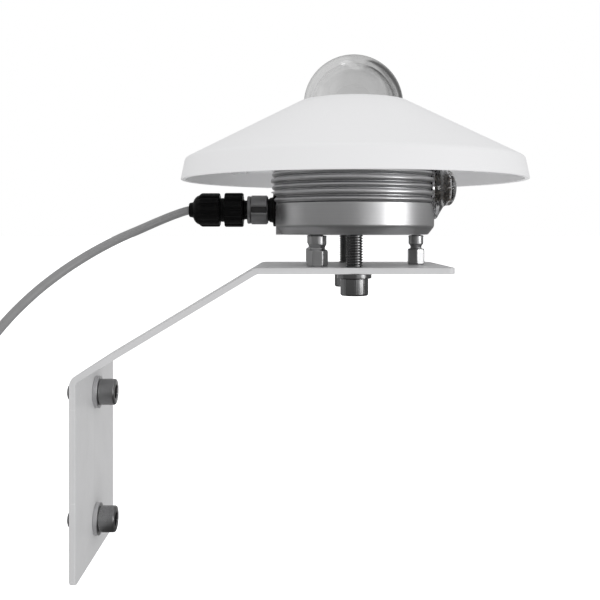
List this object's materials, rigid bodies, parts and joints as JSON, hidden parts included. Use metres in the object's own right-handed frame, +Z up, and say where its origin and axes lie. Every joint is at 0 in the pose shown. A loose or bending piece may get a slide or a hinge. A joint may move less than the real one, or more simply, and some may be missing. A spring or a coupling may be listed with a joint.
{
  "type": "pyranometer on a mast bracket",
  "caption": "Solar radiation sensor with glass domes and a white sun shield, levelled on a bent plate that bolts to the flat side of a mast, with a plugged-in signal cable.",
  "frame": {"origin": "on the back face of the bent plate's upright leg, midway between its two screws", "axes": "+Z up, +X out from the mast along the arm to the instrument, +Y across the plate"},
  "size_m": [0.2892, 0.1883, 0.2875],
  "materials": {
    "grey_paint": "semi-matt light grey powder paint over steel, lightly scratched",
    "aluminium": "machined and clear anodised, satin with fine turning lines",
    "steel": "plain stainless steel, turned and rolled surfaces",
    "white_plastic": "moulded white plastic, low gloss",
    "nylon": "natural nylon, matt",
    "black_plastic": "moulded black plastic, low gloss",
    "smoked_plastic": "smoked clear plastic, glossy",
    "dome_glass": "polished clear glass",
    "rubber": "moulded black rubber, matt",
    "absorber_black": "dead matt black absorbing coating",
    "circuit_board": "green solder mask, satin",
    "silica_gel": "dry orange beads, matt",
    "cable_jacket": "grey cable sheath, matt"
  },
  "bodies": {
    "base": {"mounting_plate": "grey_paint", "body_housing": "aluminium", "base_cover": "aluminium", "dome_ring": "aluminium", "upper_bracket_screw": "steel", "lower_bracket_screw": "steel", "upper_bracket_washer": "steel", "lower_bracket_washer": "steel", "front_body_screw": "steel", "rear_body_screw": "steel", "front_body_washer": "steel", "rear_body_washer": "steel", "base_cover_screw_1": "steel", "base_cover_screw_2": "steel", "base_cover_screw_3": "steel", "fixed_foot": "steel", "sensor_heat_sink": "white_plastic", "front_insulating_bush": "nylon", "rear_insulating_bush": "nylon", "board_spacer_1": "nylon", "board_spacer_2": "nylon", "board_spacer_3": "nylon", "cable_socket": "black_plastic", "plug_body": "black_plastic", "level_cup": "black_plastic", "upper_coil_tie": "black_plastic", "lower_coil_tie": "black_plastic", "outer_dome": "dome_glass", "inner_dome": "dome_glass", "level_vial": "dome_glass", "base_gasket": "rubber", "dome_seal": "rubber", "gland_seal": "rubber", "absorber_disc": "absorber_black", "circuit_board": "circuit_board", "cable": "cable_jacket", "cable_coil": "cable_jacket", "cable_leads": "cable_jacket"},
    "shield": {"sun_shield": "white_plastic"},
    "desiccant_holder": {"desiccant_cap": "smoked_plastic", "desiccant_seal": "rubber", "silica_gel": "silica_gel"},
    "coupling": {"coupling_ring": "steel"},
    "gland": {"gland_nut": "black_plastic"},
    "front_foot": {"front_levelling_foot": "steel"},
    "rear_foot": {"rear_levelling_foot": "steel"}
  },
  "joints": [
    {"name": "shield_lift", "type": "slide", "parent": "base", "child": "shield", "axis": [0, 0, 1], "range_m": [0, 0.06]},
    {"name": "desiccant_cap_draw", "type": "slide", "parent": "base", "child": "desiccant_holder", "axis": [1, 0, 0], "range_m": [0, 0.026]},
    {"name": "coupling_ring_turn", "type": "hinge", "parent": "base", "child": "coupling", "pos_m": [0.082, 0, 0.1236], "axis": [1, 0, 0], "continuous": true},
    {"name": "gland_nut_turn", "type": "hinge", "parent": "base", "child": "gland", "pos_m": [0.06, 0, 0.1236], "axis": [1, 0, 0], "continuous": true},
    {"name": "front_levelling_foot_turn", "type": "hinge", "parent": "base", "child": "front_foot", "pos_m": [0.114, -0.0252, 0.1], "axis": [0, 0, 1], "continuous": true},
    {"name": "rear_levelling_foot_turn", "type": "hinge", "parent": "base", "child": "rear_foot", "pos_m": [0.114, 0.0252, 0.1], "axis": [0, 0, 1], "continuous": true}
  ]
}
